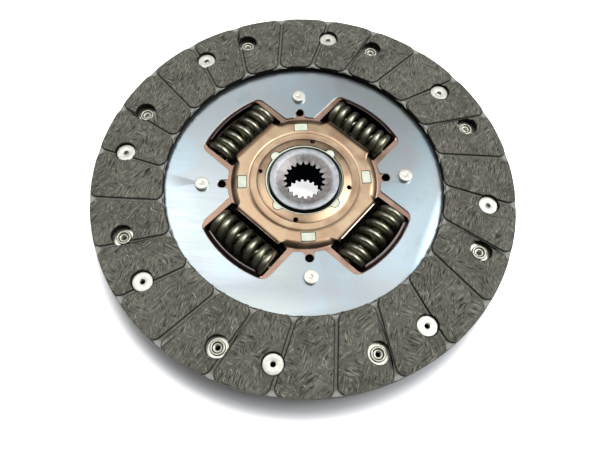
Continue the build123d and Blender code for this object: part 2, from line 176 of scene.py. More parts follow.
def height_and_radius(tree, place):
    """Height along the axis and distance from it, in mm."""
    apart = add(tree, "ShaderNodeSeparateXYZ", {0: place})
    flat = add(tree, "ShaderNodeCombineXYZ", {0: apart.outputs[0], 1: apart.outputs[1]})
    return apart.outputs[2], add(tree, "ShaderNodeVectorMath", {0: flat}, operation="LENGTH")


def distance_from(tree, value, middle):
    """How far `value` lies from `middle`, either way."""
    apart = add(tree, "ShaderNodeMath", {0: value, 1: middle}, operation="SUBTRACT")
    return add(tree, "ShaderNodeMath", {0: apart}, operation="ABSOLUTE")


def near(tree, value, middle, reach):
    """1 where `value` lies within `reach` of `middle`, else 0."""
    off = distance_from(tree, value, middle)
    return add(tree, "ShaderNodeMath", {0: off, 1: reach}, operation="LESS_THAN")


def window_axes(tree, place):
    """Distances along and across the middle of the nearest spring window; the four lie between X and Y."""
    flat = add(tree, "ShaderNodeVectorMath", {0: place}, operation="ABSOLUTE")
    x, y, _ = add(tree, "ShaderNodeSeparateXYZ", {0: flat}).outputs
    total, apart = add(tree, "ShaderNodeMath", {0: x, 1: y}, operation="ADD"), distance_from(tree, x, y)
    along = add(tree, "ShaderNodeMath", {0: total, 1: sqrt(0.5)}, operation="MULTIPLY")
    across = add(tree, "ShaderNodeMath", {0: apart, 1: sqrt(0.5)}, operation="MULTIPLY")
    return along, across


def facing_up(tree):
    """How squarely the surface itself faces along the axis, 0 to 1."""
    normal = add(tree, "ShaderNodeNewGeometry").outputs["True Normal"]
    level = add(tree, "ShaderNodeSeparateXYZ", {0: normal}).outputs[2]
    return add(tree, "ShaderNodeMath", {0: level}, operation="ABSOLUTE")


# ---------------------------------------------------------------- finishes


def friction_lining():
    """Moulded organic lining: grey-olive resin, streaked by yarn that runs every way; its walls and broken
    edges painted near black as shade.
    """
    made, tree, shader, place = new_material("moulded_friction_lining")
    height, radius = height_and_radius(tree, place)
    streaks = None
    for turn, yarn in ((25, 0.85), (80, 0.7), (140, 0.95), (110, 0.65)):     # degrees, width of the yarn
        run = add(tree, "ShaderNodeTexNoise", {
            "Vector": stretched(tree, place, turn, 5.5), "Scale": 1 / yarn, "Detail": 3, "Roughness": 0.6,
            "Distortion": 0.5,
        })
        if streaks is None:
            streaks = run
            continue
        shifted = add(tree, "ShaderNodeMapping", {"Vector": place, "Location": (turn, yarn * 40, 0)})
        patches = add(tree, "ShaderNodeTexNoise", {"Vector": shifted, "Scale": 1 / 9})
        share = past(tree, (patches, 0.42, 0.6))
        streaks = add(tree, "ShaderNodeMix", {0: share, 2: streaks, 3: run}, data_type="FLOAT")
    cloud = add(tree, "ShaderNodeTexNoise", {"Vector": place, "Scale": 1 / 16, "Detail": 3})
    base = coated(tree, colour("#504F47"), "#605E55", (cloud, 0.3, 0.7))
    base = coated(tree, base, "#2E2D27", (streaks, 0.5, 0.36))
    base = coated(tree, base, "#7F7D70", (streaks, 0.52, 0.66))
    glint = add(tree, "ShaderNodeTexNoise", {
        "Vector": stretched(tree, place, 60, 5), "Scale": 1 / 0.7, "Detail": 3, "Roughness": 0.6,
        "Distortion": 1.0,
    })
    top = coated(tree, base, "#BDB9AB", (glint, 0.63, 0.72, 0.6))
    fine = add(tree, "ShaderNodeTexNoise", {"Vector": place, "Scale": 1 / 0.9, "Detail": 4, "Roughness": 0.7})
    # the grooves' floors are greyer, and pale where they run out at either side of the ring
    off = distance_from(tree, radius, lining_middle)
    worn = coated(tree, colour("#56554E"), "#8F8F89", (off, 15.0, 17.5))
    worn = coated(tree, worn, "#7B7A73", (fine, 0.4, 0.7, 0.6))
    front, rear = (near(tree, height, level, 0.15) for level in groove_floors)
    base = coated(tree, top, worn, add(tree, "ShaderNodeMath", {0: front, 1: rear}, operation="MAXIMUM"))
    # painted shade: walls and broken edges that don't face along the axis are near black, the outer rim's
    # wall a dark grey
    side = coated(tree, colour("#151410"), "#57524A", (radius, lining_outer - 0.5, lining_outer - 0.3))
    base = coated(tree, base, side, (facing_up(tree), 0.99, 0.8))
    relief = add(tree, "ShaderNodeMath", {0: streaks, 1: fine}, operation="ADD")
    feed(tree, shader, {
        "Base Color": base, "Roughness": 0.8, "Specular IOR Level": 0.3,
        "Normal": add(tree, "ShaderNodeBump", {"Height": relief, "Distance": 0.12 * MM}),
    })
    return made


def bright_sheet_steel():
    """Rolled spring steel sheet: bright, faint temper tints, rolling marks and small specks.

    The rolling marks are drawn 1 mm wide, coarser than real ones, so that they show.
    """
    made, tree, shader, place = new_material("bright_rolled_steel")
    _, radius = height_and_radius(tree, place)
    tint = add(tree, "ShaderNodeTexNoise", {"Vector": place, "Scale": 1 / 40, "Distortion": 0.8})
    base = coated(tree, colour("#D3DCD6"), "#D4DCDC", (tint, 0.36, 0.48))
    base = coated(tree, base, "#D2E4E8", (tint, 0.54, 0.68))
    bloom = add(tree, "ShaderNodeTexNoise", {
        "Vector": place, "Scale": 1 / 17, "Detail": 3, "Roughness": 0.6, "Distortion": 0.6,
    })
    base = coated(tree, base, "#DCD2D8", (bloom, 0.55, 0.75, 0.5))
    base = coated(tree, base, "#BECBC9", (bloom, 0.42, 0.25, 0.5))
    marks = add(tree, "ShaderNodeTexNoise", {
        "Vector": stretched(tree, place, 8, 30), "Scale": 1.0, "Detail": 3, "Roughness": 0.6,
    })
    base = coated(tree, base, "#B2BDC4", (marks, 0.4, 0.9, 0.1))
    specks = add(tree, "ShaderNodeTexNoise", {
        "Vector": place, "Scale": 1 / 1.2, "Detail": 4, "Roughness": 0.7,
    })
    base = coated(tree, base, "#98A0A3", (specks, 0.58, 0.76, 0.3))
    base = coated(tree, base, "#FCF9E4", (radius, 86, 88))       # the tongues between the linings
    polish = {0: marks, 1: 0.2, 2: 0.8, 3: 0.28, 4: 0.33}
    feed(tree, shader, {
        "Base Color": base, "Metallic": 1.0,
        "Roughness": add(tree, "ShaderNodeMapRange", polish, interpolation_type="SMOOTHSTEP"),
        "Normal": add(tree, "ShaderNodeBump", {"Height": marks, "Distance": 0.0015 * MM}),
    })
    return made


def copper_washed_steel():
    """Pressed steel with a thin copper-brown coat: beige dish, pinker flange; painted shade darkens its
    creases, steep walls, the valleys before the lips, the hoods and the damper's inside, and painted
    highlights brighten the lips' brims and the hoods' rims.
    """
    made, tree, shader, place = new_material("copper_washed_pressed_steel")
    height, radius = height_and_radius(tree, place)
    along, across = window_axes(tree, place)
    bend, end = lip["bend"], lip["half"]
    cloud = add(tree, "ShaderNodeTexNoise", {"Vector": place, "Scale": 1 / 9, "Detail": 4})
    dish = coated(tree, colour("#E6C09A"), "#F8DAB2", (cloud, 0.35, 0.7))
    flange = coated(tree, colour("#B8967F"), "#D0AE97", (cloud, 0.35, 0.7))
    base = coated(tree, dish, flange, (radius, 38.0, 40.5))
    # painted shade: a dark line along the crease at the foot of the collar and of the step
    for foot in (plate["collar"] - 0.1, plate["step"] - plate["step_run"]):
        base = coated(tree, base, "#5C4029", (distance_from(tree, radius, foot), 0.5, 0.05, 0.7))
    # painted shade: the steep walls are darker
    base = coated(tree, base, "#4E3B31", (facing_up(tree), 0.93, 0.6))
    # oil gathers before each lip, whose brim is rubbed bright
    # painted shade in the valley before each lip, and a painted highlight on its brim
    lip_valley_shade = (along, bend - 1.2, bend + 0.3), (along, bend + 0.8, bend + 0.6)
    base = coated(tree, base, "#5A4434", *lip_valley_shade, (across, end + 1.2, end - 0.2, 0.9))
    brim_highlight = near(tree, along, bend + 1.3, 0.65), near(tree, across, 0, end + 0.2), (height, 21.4, 21.6)
    base = coated(tree, base, "#E2C4B0", *brim_highlight)
    # the hoods painted dark as shade, and a painted highlight along their cut rims
    hood = (radius, 56.0, 57.0), (height, front_flange + 0.1, front_flange + 0.4)
    base = coated(tree, base, "#5E4E4C", *hood)
    rim = near(tree, radius, plate["hood"] + 0.15, 0.22), (height, front_flange + 0.9, front_flange + 1.3)
    base = coated(tree, base, "#8E8886", *rim)
    # painted shade: the sides that face into the damper, between the plates, are near black
    inside = (height, front_flange - 1.3, front_flange - 1.6), (height, rear_flange + 0.1, rear_flange + 0.3)
    base = coated(tree, base, "#2B211C", *inside)
    polish = {0: cloud, 1: 0.3, 2: 0.7, 3: 0.28, 4: 0.4}
    grain = add(tree, "ShaderNodeTexNoise", {"Vector": place, "Scale": 1 / 0.8})
    feed(tree, shader, {
        "Base Color": base, "Metallic": 1.0,
        "Roughness": add(tree, "ShaderNodeMapRange", polish, interpolation_type="SMOOTHSTEP"),
        "Normal": add(tree, "ShaderNodeBump", {"Height": grain, "Distance": 0.01 * MM}),
    })
    return made


def turned_hub_steel():
    """Turned face and broached spline: pale grey-violet steel, blue-black teeth; the flange and the face's
    outer edge painted near black as shade.
    """
    made, tree, shader, place = new_material("turned_and_broached_steel")
    _, radius = height_and_radius(tree, place)
    up = facing_up(tree)
    cloud = add(tree, "ShaderNodeTexNoise", {"Vector": place, "Scale": 1 / 3, "Detail": 4})
    face = coated(tree, colour("#A8ABAC"), "#C4C6C6", (cloud, 0.3, 0.7))
    lead_in = coated(tree, colour("#8E8884"), "#A8A29E", (cloud, 0.3, 0.7))
    base = coated(tree, lead_in, face, (radius, 15.0, 15.5))
    wall = past(tree, (radius, 11.6, 11.5), (up, 0.5, 0.3))
    base = coated(tree, base, "#0C1016", wall)
    # painted shade: the flange under the plates, and the face's outer edge and wall in the gap round the hub,
    # are near black
    flange, edge = past(tree, (radius, 19.6, 20.2)), past(tree, (radius, 18.6, 18.9), (up, 0.95, 0.75))
    dark = add(tree, "ShaderNodeMath", {0: flange, 1: edge}, operation="MAXIMUM")
    base = coated(tree, base, "#0F0D0C", dark)
    dull = add(tree, "ShaderNodeMath", {0: 1.0, 1: wall}, operation="SUBTRACT")      # the spline's walls
    # where the shade is painted the steel is fully metallic, so the near black shows no pale diffuse light
    oiled = add(tree, "ShaderNodeMapRange", {0: dark, 3: 0.55}, interpolation_type="SMOOTHSTEP")
    polish = {0: cloud, 1: 0.3, 2: 0.7, 3: 0.3, 4: 0.42}
    feed(tree, shader, {
        "Base Color": base,
        "Metallic": add(tree, "ShaderNodeMath", {0: oiled, 1: dull}, operation="MULTIPLY"),
        "Specular IOR Level": add(tree, "ShaderNodeMath", {0: dull, 1: 0.5}, operation="MULTIPLY"),
        "Roughness": add(tree, "ShaderNodeMapRange", polish, interpolation_type="SMOOTHSTEP"),
        "Normal": add(tree, "ShaderNodeBump", {"Height": cloud, "Distance": 0.012 * MM}),
    })
    return made


def blackened_spring_wire():
    """Oiled spring wire: dark between the coils, long olive-cream highlights along them."""
    made, tree, shader, place = new_material("oil_tempered_wire")
    cloud = add(tree, "ShaderNodeTexNoise", {"Vector": place, "Scale": 1 / 2.5, "Detail": 3})
    base = coated(tree, colour("#B5B294"), "#CFCCB8", (cloud, 0.3, 0.7))
    feed(tree, shader, {"Base Color": base, "Metallic": 1.0, "Roughness": 0.36})
    return made


def moulded_polymer():
    """Glass-filled polyamide: pale cream with a green cast, satin."""
    made, tree, shader, place = new_material("moulded_pale_polyamide")
    cloud = add(tree, "ShaderNodeTexNoise", {"Vector": place, "Scale": 1 / 4})
    base = coated(tree, colour("#C2C9B4"), "#D2D6C4", (cloud, 0.3, 0.7))
    feed(tree, shader, {
        "Base Color": base, "Roughness": 0.45,
        "Normal": add(tree, "ShaderNodeBump", {"Height": cloud, "Distance": 0.02 * MM}),
    })
    return made


def zinc_plated_steel():
    """Zinc-plated rivet steel: bright silver-white, with a brown ring on the rolled end; painted shade greys
    the eye and darkens the rolled end's edge and bore.

    The attribute "zone" is the radius on the form, plus 10 on its tail side.
    """
    made, tree, shader, place = new_material("zinc_plated_steel")
    cloud = add(tree, "ShaderNodeTexNoise", {"Vector": place, "Scale": 1 / 2, "Detail": 3})
    base = coated(tree, colour("#E6E3D4"), "#F6F3E6", (cloud, 0.3, 0.7))
    zone = add(tree, "ShaderNodeAttribute", attribute_name="zone").outputs["Fac"]
    # painted shade in the eye of the hollow rivet
    base = coated(tree, base, "#57504A", (zone, 1.6, 1.1))
    tail = add(tree, "ShaderNodeMath", {0: zone, 1: 9.0}, operation="GREATER_THAN")
    base = coated(tree, base, "#DCD8C6", tail)
    # on the rolled end a brown ring; painted shade: a dark ring at the curl's edge and a near-black bore
    for middle, reach, code in ((12.45, 0.3, "#5C5140"), (13.75, 0.17, "#2A2620"), (10.6, 0.82, "#1A1713")):
        base = coated(tree, base, code, near(tree, zone, middle, reach))
    feed(tree, shader, {
        "Base Color": base, "Metallic": 0.6, "Roughness": 0.36,
        "Normal": add(tree, "ShaderNodeBump", {"Height": cloud, "Distance": 0.015 * MM}),
    })
    return made


def oiled_washer_steel():
    """Hardened washer steel: mid grey, oiled."""
    made, tree, shader, place = new_material("oiled_hardened_steel")
    cloud = add(tree, "ShaderNodeTexNoise", {"Vector": place, "Scale": 1 / 3, "Detail": 3})
    base = coated(tree, colour("#77787C"), "#93949A", (cloud, 0.3, 0.7))
    feed(tree, shader, {"Base Color": base, "Metallic": 1.0, "Roughness": 0.35})
    return made


finish = {
    "lining": friction_lining(),
    "cushion_steel": bright_sheet_steel(),
    "plated_rivets": zinc_plated_steel(),
    "copper_plate": copper_washed_steel(),
    "bush_polymer": moulded_polymer(),
    "washer_steel": oiled_washer_steel(),
    "plated_pins": zinc_plated_steel(),
    "spring_steel": blackened_spring_wire(),
    "inner_spring_steel": blackened_spring_wire(),
    "hub_steel": turned_hub_steel(),
}
for part in frame["record"]["subparts"]:
    solid = frame["nodes"][part["node"]]
    solid.data.materials.clear()
    solid.data.materials.append(finish[part["material_slot"]])

# ---------------------------------------------------------------- springs, wound by a node tree


def geometry_tree(name, sizes):
    """An empty geometry tree with a float input for each name in `sizes`, and a material input."""
    tree = bpy.data.node_groups.new(name, "GeometryNodeTree")
    for size in sizes:
        tree.interface.new_socket(size, in_out="INPUT", socket_type="NodeSocketFloat")
    tree.interface.new_socket("Finish", in_out="INPUT", socket_type="NodeSocketMaterial")
    tree.interface.new_socket("Geometry", in_out="OUTPUT", socket_type="NodeSocketGeometry")
    return tree, tree.nodes.new("NodeGroupInput"), tree.nodes.new("NodeGroupOutput")


def run_tree(name, tree, values):
    """The tree's result with these input values, as a plain mesh."""
    holder = bpy.data.objects.new(name, bpy.data.meshes.new(name))
    bpy.context.scene.collection.objects.link(holder)
    modifier = holder.modifiers.new("shape", "NODES")
    modifier.node_group = tree
    for socket in tree.interface.items_tree:
        if socket.in_out == "INPUT" and socket.name in values:
            modifier[socket.identifier] = values[socket.name]
    graph = bpy.context.evaluated_depsgraph_get()
    made = bpy.data.meshes.new_from_object(holder.evaluated_get(graph))
    bpy.data.objects.remove(holder)
    return made


def finish_tree(tree, given, result, shape):
    """Ends a geometry tree: the shape as plain geometry, dressed in the material it is given."""
    plain = add(tree, "GeometryNodeRealizeInstances", {0: shape})
    dressed = add(tree, "GeometryNodeSetMaterial", {"Geometry": plain, "Material": given.outputs["Finish"]})
    feed(tree, result, {0: dressed})


def coil_tree():
    """Round wire wound about the Y axis, its pitch closing up over the end turns. Lengths in metres."""
    sizes = ("Reach", "Wire", "Pitch", "Close Pitch", "Half Active", "Half Turns", "Hand", "Points", "Sides")
    tree, given, result = geometry_tree("wound_coil", sizes)
    size = given.outputs
    line = add(tree, "GeometryNodeCurvePrimitiveLine")
    steps = add(tree, "GeometryNodeResampleCurve", {"Curve": line, "Count": size["Points"]})
    share = add(tree, "GeometryNodeSplineParameter").outputs["Factor"]
    signed = add(tree, "ShaderNodeMath", {0: share, 1: 2.0, 2: -1.0}, operation="MULTIPLY_ADD")
    turn = add(tree, "ShaderNodeMath", {0: signed, 1: size["Half Turns"]}, operation="MULTIPLY")
    least = add(tree, "ShaderNodeMath", {0: size["Half Active"], 1: -1.0}, operation="MULTIPLY")
    low = add(tree, "ShaderNodeMath", {0: turn, 1: least}, operation="MAXIMUM")
    inside = add(tree, "ShaderNodeMath", {0: low, 1: size["Half Active"]}, operation="MINIMUM")
    beyond = add(tree, "ShaderNodeMath", {0: turn, 1: inside}, operation="SUBTRACT")
    closed = add(tree, "ShaderNodeMath", {0: beyond, 1: size["Close Pitch"]}, operation="MULTIPLY")
    along = add(tree, "ShaderNodeMath", {0: inside, 1: size["Pitch"], 2: closed}, operation="MULTIPLY_ADD")
    spin = add(tree, "ShaderNodeMath", {0: turn, 1: size["Hand"]}, operation="MULTIPLY")
    angle = add(tree, "ShaderNodeMath", {0: spin, 1: 2 * pi, 2: pi / 2}, operation="MULTIPLY_ADD")
    across, up = (
        add(tree, "ShaderNodeMath", {
            0: add(tree, "ShaderNodeMath", {0: angle}, operation=part), 1: size["Reach"],
        }, operation="MULTIPLY")
        for part in ("COSINE", "SINE")
    )
    place = add(tree, "ShaderNodeCombineXYZ", {0: across, 1: along, 2: up})
    helix = add(tree, "GeometryNodeSetPosition", {"Geometry": steps, "Position": place})
    half_wire = add(tree, "ShaderNodeMath", {0: size["Wire"], 1: 0.5}, operation="MULTIPLY")
    section = {"Resolution": size["Sides"], "Radius": half_wire}
    ring = add(tree, "GeometryNodeCurvePrimitiveCircle", section)
    wire = add(tree, "GeometryNodeCurveToMesh", {"Curve": helix, "Profile Curve": ring, "Fill Caps": True})
    finish_tree(tree, given, result, wire)
    return tree


def wound_spring(name, spring, material, sides, steps):
    """Mesh of one coil spring about the Y axis, centred on the origin."""
    close_pitch = close_share * spring["wire"]
    active = (spring["length"] - spring["wire"] - 2 * closed_turns * close_pitch) / spring["pitch"]
    half_turns = active / 2 + closed_turns
    return run_tree(name, coils, {
        "Reach": (spring["outer"] - spring["wire"]) / 2 * MM,
        "Wire": spring["wire"] * MM,
        "Pitch": spring["pitch"] * MM,
        "Close Pitch": close_pitch * MM,
        "Half Active": active / 2,
        "Half Turns": half_turns,
        "Hand": float(spring["hand"]),
        "Points": float(round(2 * half_turns * steps)),
        "Sides": float(sides),
        "Finish": material,
    })


def place_piece(name, mesh, body, slot, *nodes):
    """Object of that mesh, riding on a body and standing for CAD nodes."""
    piece = bpy.data.objects.new(name, mesh)
    bpy.context.scene.collection.objects.link(piece)
    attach(piece, body)
    if nodes:
        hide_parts(*nodes)
    return piece


coils = coil_tree()
spring_low, spring_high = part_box("outer_spring_1")
spring_level = (spring_low.z + spring_high.z) / 2
wound = {
    "outer": wound_spring("outer_coil", outer_spring, finish["spring_steel"], 20, 40),
    "inner": wound_spring("inner_coil", inner_spring, finish["inner_spring_steel"], 12, 24),
}
for index in range(window_count):
    turn = radians(window_turn + index * 360 / window_count)
    seat = Matrix.Rotation(turn, 4, "Z") @ Matrix.Translation((spring_circle * MM, 0, spring_level))
    for kind, mesh in wound.items():
        placed = mesh.copy()
        placed.transform(seat)
        placed.polygons.foreach_set("use_smooth", [True] * len(placed.polygons))
        slot = "spring_steel" if kind == "outer" else "inner_spring_steel"
        piece = place_piece(f"{kind}_coil_{index + 1}", placed, "springs", slot, f"{kind}_spring_{index + 1}")
        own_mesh(piece)

# ---------------------------------------------------------------- pressed side plates


def smooth(value, low, high):
    """0 below `low`, 1 above `high`, eased between."""
    share = min(max((value - low) / (high - low), 0.0), 1.0)
    return share * share * (3 - 2 * share)


def turned(points, turn):
    """Flat points turned about the axis by `turn` degrees."""
    c, s = cos(radians(turn)), sin(radians(turn))
    return [(x * c - y * s, x * s + y * c) for x, y in points]


def round_loop(radius, centre=(0.0, 0.0), spacing=0.9):
    """Circle as flat points about `spacing` apart."""
    count = max(16, round(2 * pi * radius / spacing))
    angles = [2 * pi * index / count for index in range(count)]
    return [(centre[0] + radius * cos(angle), centre[1] + radius * sin(angle)) for angle in angles]


def cornered_loop(corners, spacing=0.8):
    """Closed loop through (x, y, corner radius) points, no step longer than `spacing`."""
    bent = []
    for index, (x, y, radius) in enumerate(corners):
        here = Vector((x, y))
        if radius == 0:
            bent.append(here)
            continue
        before = Vector(corners[index - 1][:2]) - here
        after = Vector(corners[(index + 1) % len(corners)][:2]) - here
        back = radius / tan(before.angle(after) / 2)
        first, last = here + before.normalized() * back, here + after.normalized() * back
        for share in (0, 0.2, 0.4, 0.6, 0.8, 1):
            bent.append(first.lerp(here, share).lerp(here.lerp(last, share), share))
    loop = []
    for index, point in enumerate(bent):
        ahead = bent[(index + 1) % len(bent)]
        count = max(1, round((ahead - point).length / spacing))
        loop += [tuple(point.lerp(ahead, step / count)) for step in range(count)]
    return loop


def window_loop():
    """Spring window about +X before its lip and hood are bent: they reach into it."""
    half, corner = window["half"], window["corner"]
    edge, end = lip["bend"] + lip["length"], lip["half"]
    relief = end + window["relief"]
    inner = [
        (window["inner"], -half, corner), (window["inner"], -relief, 0.2), (edge, -end, 0.3),
        (edge, end, 0.3), (window["inner"], relief, 0.2), (window["inner"], half, corner),
    ]
    outer = [(window["far"], window["half_far"], window["round"])]
    for step in range(18, -19, -1):
        turn = step * window["turn"] / 18
        out = smooth(abs(turn), window["turn"] - window["ease"], window["turn"])
        radius = plate["hood"] + (window["reach"] - plate["hood"]) * out
        outer.append((radius * cos(radians(turn)), radius * sin(radians(turn)), 0))
    outer.append((window["far"], -window["half_far"], window["round"]))
    return cornered_loop(inner + outer)[::-1]


def bore_loop():
    """Bore with a round slot for each ear of the bush, at the windows' middles."""
    slot_radius = ear["radius"] + ear["room"]
    loop = []
    for index in range(240):
        angle = 2 * pi * index / 240
        off = angle % (pi / 2) - pi / 4
        inside = slot_radius ** 2 - (ear["ring"] * sin(off)) ** 2
        radius = plate["bore"]
        if inside > 0:
            radius = max(radius, ear["ring"] * cos(off) + sqrt(inside))
        loop.append((radius * cos(angle), radius * sin(angle)))
    return loop


def dish_height(radius, off, rise):
    """Height over the flange at this radius; `off` is the angle from the nearest window's middle."""
    across = radius * sin(radians(off))
    chord = max(hypot(plate["chord"], across), plate["dish"])
    edge = plate["dish"] + (chord - plate["dish"]) * (1 - smooth(across, plate["straight"], plate["rounded"]))
    down = min(max((radius - edge) / plate["run"], 0.0), 1.0)
    height = rise * (1 - down * down)
    height -= plate["step_drop"] * smooth(plate["step"] - radius, 0, plate["step_run"])
    height += plate["collar_rise"] * smooth(plate["collar"] - radius, 0, plate["collar_run"])
    height += plate["collar_slope"] * max(plate["collar"] - radius, 0)
    hood = smooth(plate["hood_foot"] - radius, 0, plate["hood_run"]) if radius > hood_zone else 0
    return height + plate["hood_rise"] * hood * (1 - smooth(off, hood_end, hood_gone))


def plate_point(x, y, rise):
    """Where a point of the flat sheet lands: its place and the sheet's thickness there."""
    radius, angle = hypot(x, y), degrees(atan2(y, x))
    middle = 90 * floor_of((angle - window_turn + 45) / 90) + window_turn
    off = angle - middle
    along, across = radius * cos(radians(off)), radius * sin(radians(off))
    beyond = along - lip["bend"]
    lean = radians(lip["lean"]) * (1 - smooth(abs(across), lip["half"] - 1.5, lip["half"] + 0.6))
    if not (0 < beyond < 4 and lean > 0):
        drawn = hood_zone < radius < plate["hood"] + 1.5 and abs(off) < 20      # the hood's stretched edge
        return Vector((x, y, dish_height(radius, abs(off), rise))), plate["thinned" if drawn else "sheet"]
    bend = min(beyond / lip["radius"], lean)
    rest = beyond - lip["radius"] * bend
    landed = lip["bend"] + lip["radius"] * sin(bend) + rest * cos(bend)
    lift = lip["radius"] * (1 - cos(bend)) + rest * sin(bend)
    height = lift + dish_height(hypot(landed, across), abs(off), rise)
    (px, py), = turned([(landed, across)], middle)
    return Vector((px, py, height)), lip["sheet"]


def blank_sheet(holes):
    """Points and triangles of a side plate's flat blank, meshed finely where the sheet will bend."""
    points, loops = [], []
    for loop in [round_loop(plate["outer"]), *holes]:
        loops.append(list(range(len(points), len(points) + len(loop))))
        points += loop
    radius = plate["bore"] + 0.5
    while radius < plate["outer"] - 0.6:
        points += round_loop(radius, spacing=1.0)
        radius += 0.4 if any(low < radius < high for low, high in bends) else 1.1
    for index in range(window_count):
        strip = [(lip["bend"] + 0.15 * row, 0.8 * column) for row in range(9) for column in range(-19, 20)]
        points += turned(strip, window_turn + index * 360 / window_count)
    flat, _, faces, _, _, owners = delaunay_2d_cdt([Vector(point) for point in points], [], loops, 1, 1e-4)
    outline_alone = [0]      # a triangle in a hole lies inside the hole's loop too
    return flat, [face for face, owner in zip(faces, owners) if list(owner) == outline_alone]


def thicken(shape, depths):
    """Gives a sheet of faces its underside, each point by its own depth along the normal, and its rims."""
    tops, rims = list(shape.faces), [edge for edge in shape.edges if edge.is_boundary]
    under = {}
    for vertex in list(shape.verts):
        if vertex.link_faces:
            under[vertex] = shape.verts.new(vertex.co - vertex.normal * depths[vertex.index])
    for edge in rims:
        loop = edge.link_loops[0]
        start, end = loop.vert, loop.link_loop_next.vert
        shape.faces.new([end, start, under[start], under[end]])
    for face in tops:
        shape.faces.new([under[vertex] for vertex in reversed(face.verts)])
    loose = [vertex for vertex in shape.verts if not vertex.link_faces]
    bmesh.ops.delete(shape, geom=loose, context="VERTS")


def pressed_plate(name, rise, level, facing, holes):
    """Mesh of a side plate: laid out flat, dished, its lips and hoods bent, its sheet thickened."""
    flat, faces = blank_sheet(holes)
    shape = bmesh.new()
    depths = []
    for point in flat:
        landed, depth = plate_point(point.x, point.y, rise)
        shape.verts.new(landed)
        depths.append(depth)
    shape.verts.ensure_lookup_table()
    for face in faces:
        shape.faces.new([shape.verts[index] for index in face])
    shape.verts.index_update()
    shape.normal_update()
    if shape.faces[:][0].normal.z < 0:
        bmesh.ops.reverse_faces(shape, faces=shape.faces)
        shape.normal_update()
    thicken(shape, depths)
    for vertex in shape.verts:
        vertex.co = Vector((vertex.co.x, vertex.co.y * facing, vertex.co.z * facing + level)) * MM
    bmesh.ops.recalc_face_normals(shape, faces=shape.faces)
    mesh = bpy.data.meshes.new(name)
    shape.to_mesh(mesh)
    shape.free()
    return softened(mesh, 0.16, flat_faced=False)


def softened(mesh, width, flat_faced=True, limited=True):
    """The mesh with its sharp edges broken by `width` mm, or less where `limited` keeps them from crossing.

    Where it is flat-faced, large flat faces keep their own normals.
    """
    mesh.polygons.foreach_set("use_smooth", [True] * len(mesh.polygons))
    holder = bpy.data.objects.new("softening", mesh)
    bpy.context.scene.collection.objects.link(holder)
    modifier = holder.modifiers.new("edges", "BEVEL")
    modifier.width = width * MM
    modifier.segments = 2
    modifier.limit_method = "ANGLE"
    modifier.angle_limit = radians(40)
    modifier.use_clamp_overlap = limited
    modifier.harden_normals = not flat_faced
    graph = bpy.context.evaluated_depsgraph_get()
    made = bpy.data.meshes.new_from_object(holder.evaluated_get(graph))
    bpy.data.objects.remove(holder)
    if flat_faced:
        made.set_sharp_from_angle(angle=radians(20))
    return made


def slot_loop(slot):
    """Rectangular slot about +X."""
    near_side, far_side, half, corner = slot.values()
    corners = (near_side, -half), (far_side, -half), (far_side, half), (near_side, half)
    return cornered_loop([(x, y, corner) for x, y in corners])


locating_holes = []
for turn in range(0, 360, 90):
    (x, y), = turned([(locating_hole["ring"], 0)], turn)
    locating_holes.append(round_loop(locating_hole["radius"], (x, y), 0.6))
shared_holes = list(locating_holes)
front_holes, rear_holes = [], []
for index in range(window_count):
    quarter = index * 360 / window_count
    shared_holes.append(turned(window_loop(), window_turn + quarter))
    shared_holes.append(round_loop(pin_hole, turned([(pin_ring, 0)], quarter)[0], 0.7))
    front_holes.append(turned(slot_loop(tab_slot), quarter))
    oil_place = turned([(oil_hole["ring"], 0)], quarter + oil_hole["turn"])[0]
    front_holes.append(round_loop(oil_hole["radius"], oil_place, 0.5))
    rear_holes.append(turned(slot_loop(drive_slot), quarter))
front_holes = [*shared_holes, *front_holes, bore_loop()]
rear_holes = [*shared_holes, *rear_holes, round_loop(plate["bore"])]
front_sheet = pressed_plate("front_sheet", dish_rise["front"], front_flange, 1, front_holes)
rear_sheet = pressed_plate("rear_sheet", dish_rise["rear"], rear_flange, -1, rear_holes)
for mesh, name in ((front_sheet, "front_plate"), (rear_sheet, "rear_plate")):
    mesh.materials.append(finish["copper_plate"])
    place_piece(f"{name}_pressing", mesh, "plates", "copper_plate", name)

# ---------------------------------------------------------------- turned rivets and pins, set by a node tree


def turned_form(name, profile, steps, closed, facing=1):
    """Body turned about Z from (radius, height) points in mm, upside down where `facing` is -1.

    The attribute "zone" keeps each point's radius, plus 10 on the tail side of the form.
    """
    points, faces, rows, zones = [], [], [], []
    for radius, height in profile:
        count = steps if radius else 1
        rows.append([len(points) + index for index in range(count)])
        zones += [radius + (10 if height < 0 else 0)] * count
        for index in range(count):
            angle = 2 * pi * index / steps
            points.append((radius * cos(angle) * MM, radius * sin(angle) * MM, height * facing * MM))
    for low, high in zip(rows, rows[1:] + rows[:1] if closed else rows[1:]):
        for index in range(steps):
            ahead = (index + 1) % steps
            corners = (low, index), (low, ahead), (high, ahead), (high, index)
            ring = [row[step % len(row)] for row, step in corners]       # a row is one point at the axis
            faces.append(list(dict.fromkeys(ring)))
    mesh = bpy.data.meshes.new(name)
    mesh.from_pydata(points, [], faces)
    mesh.attributes.new("zone", "FLOAT", "POINT").data.foreach_set("value", zones)
    shape = bmesh.new()
    shape.from_mesh(mesh)
    bmesh.ops.recalc_face_normals(shape, faces=shape.faces)
    shape.to_mesh(mesh)
    shape.free()
    return mesh


